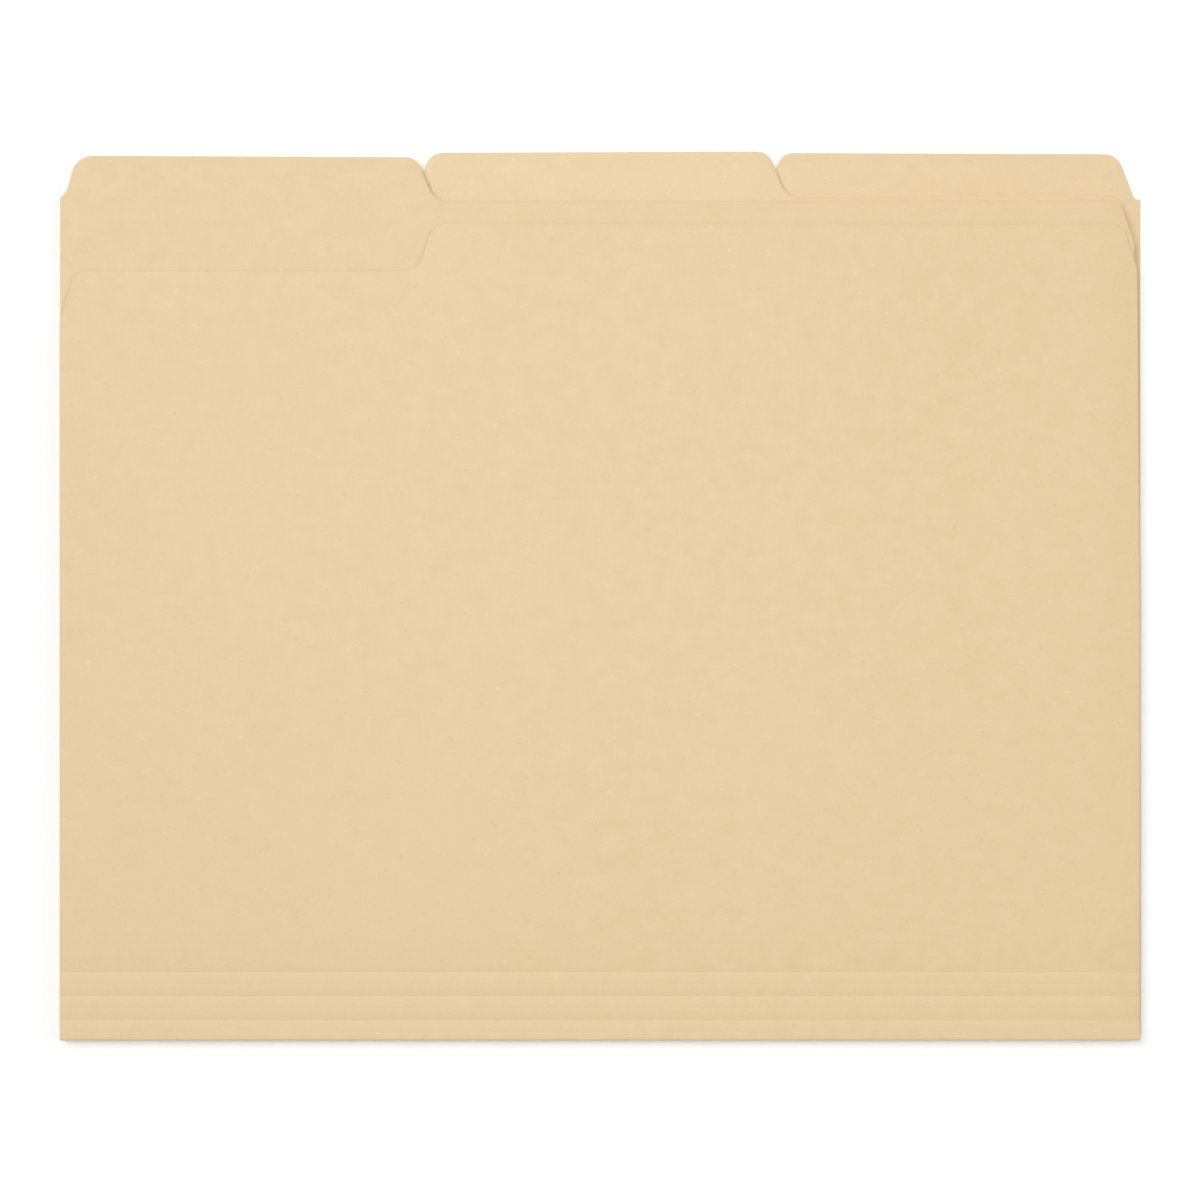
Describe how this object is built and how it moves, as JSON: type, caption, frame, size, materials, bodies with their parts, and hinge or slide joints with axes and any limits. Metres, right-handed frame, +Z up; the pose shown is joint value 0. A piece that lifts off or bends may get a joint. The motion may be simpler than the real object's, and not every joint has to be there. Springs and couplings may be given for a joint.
{
  "type": "file folder",
  "caption": "Stack of letter-size manila file folders with stepped one-third-cut tabs, each leaf hinged at its bottom fold and scored beside it.",
  "frame": {"origin": "under the middle of the closed stack, on the surface it lies on", "axes": "+X along the folds to the right tab, +Y from the folds to the tabs, +Z up through the stack to the left-tab folder's front leaf"},
  "size_m": [0.296, 0.2434, 0.0043],
  "materials": {
    "manila_card": "uncoated pale buff card with a matt, faintly fibrous face"
  },
  "bodies": {
    "right_tab_back": {"right_tab_back_leaf": "manila_card", "right_tab_fold": "manila_card"},
    "right_tab_front": {"right_tab_strip_1": "manila_card", "right_tab_strip_2": "manila_card", "right_tab_strip_3": "manila_card", "right_tab_front_leaf": "manila_card"},
    "centre_tab_back": {"centre_tab_back_leaf": "manila_card", "centre_tab_fold": "manila_card"},
    "centre_tab_front": {"centre_tab_strip_1": "manila_card", "centre_tab_strip_2": "manila_card", "centre_tab_strip_3": "manila_card", "centre_tab_front_leaf": "manila_card"},
    "left_tab_back": {"left_tab_back_leaf": "manila_card", "left_tab_fold": "manila_card"},
    "left_tab_front": {"left_tab_strip_1": "manila_card", "left_tab_strip_2": "manila_card", "left_tab_strip_3": "manila_card", "left_tab_front_leaf": "manila_card"}
  },
  "joints": [
    {"name": "right_tab_fold_open", "type": "hinge", "parent": "right_tab_back", "child": "right_tab_front", "pos_m": [0, -0.11968, 0.00058], "axis": [1, 0, 0], "range_deg": [0, 180], "deforming": ["right_tab_fold"]},
    {"name": "centre_tab_lift", "type": "slide", "parent": "right_tab_front", "child": "centre_tab_back", "axis": [0, 0, 1], "range_m": [0, 0.04]},
    {"name": "centre_tab_fold_open", "type": "hinge", "parent": "centre_tab_back", "child": "centre_tab_front", "pos_m": [0, -0.12108, 0.00214], "axis": [1, 0, 0], "range_deg": [0, 180], "deforming": ["centre_tab_fold"]},
    {"name": "left_tab_lift", "type": "slide", "parent": "centre_tab_front", "child": "left_tab_back", "axis": [0, 0, 1], "range_m": [0, 0.08]},
    {"name": "left_tab_fold_open", "type": "hinge", "parent": "left_tab_back", "child": "left_tab_front", "pos_m": [0, -0.12108, 0.0037], "axis": [1, 0, 0], "range_deg": [0, 180], "deforming": ["left_tab_fold"]}
  ]
}
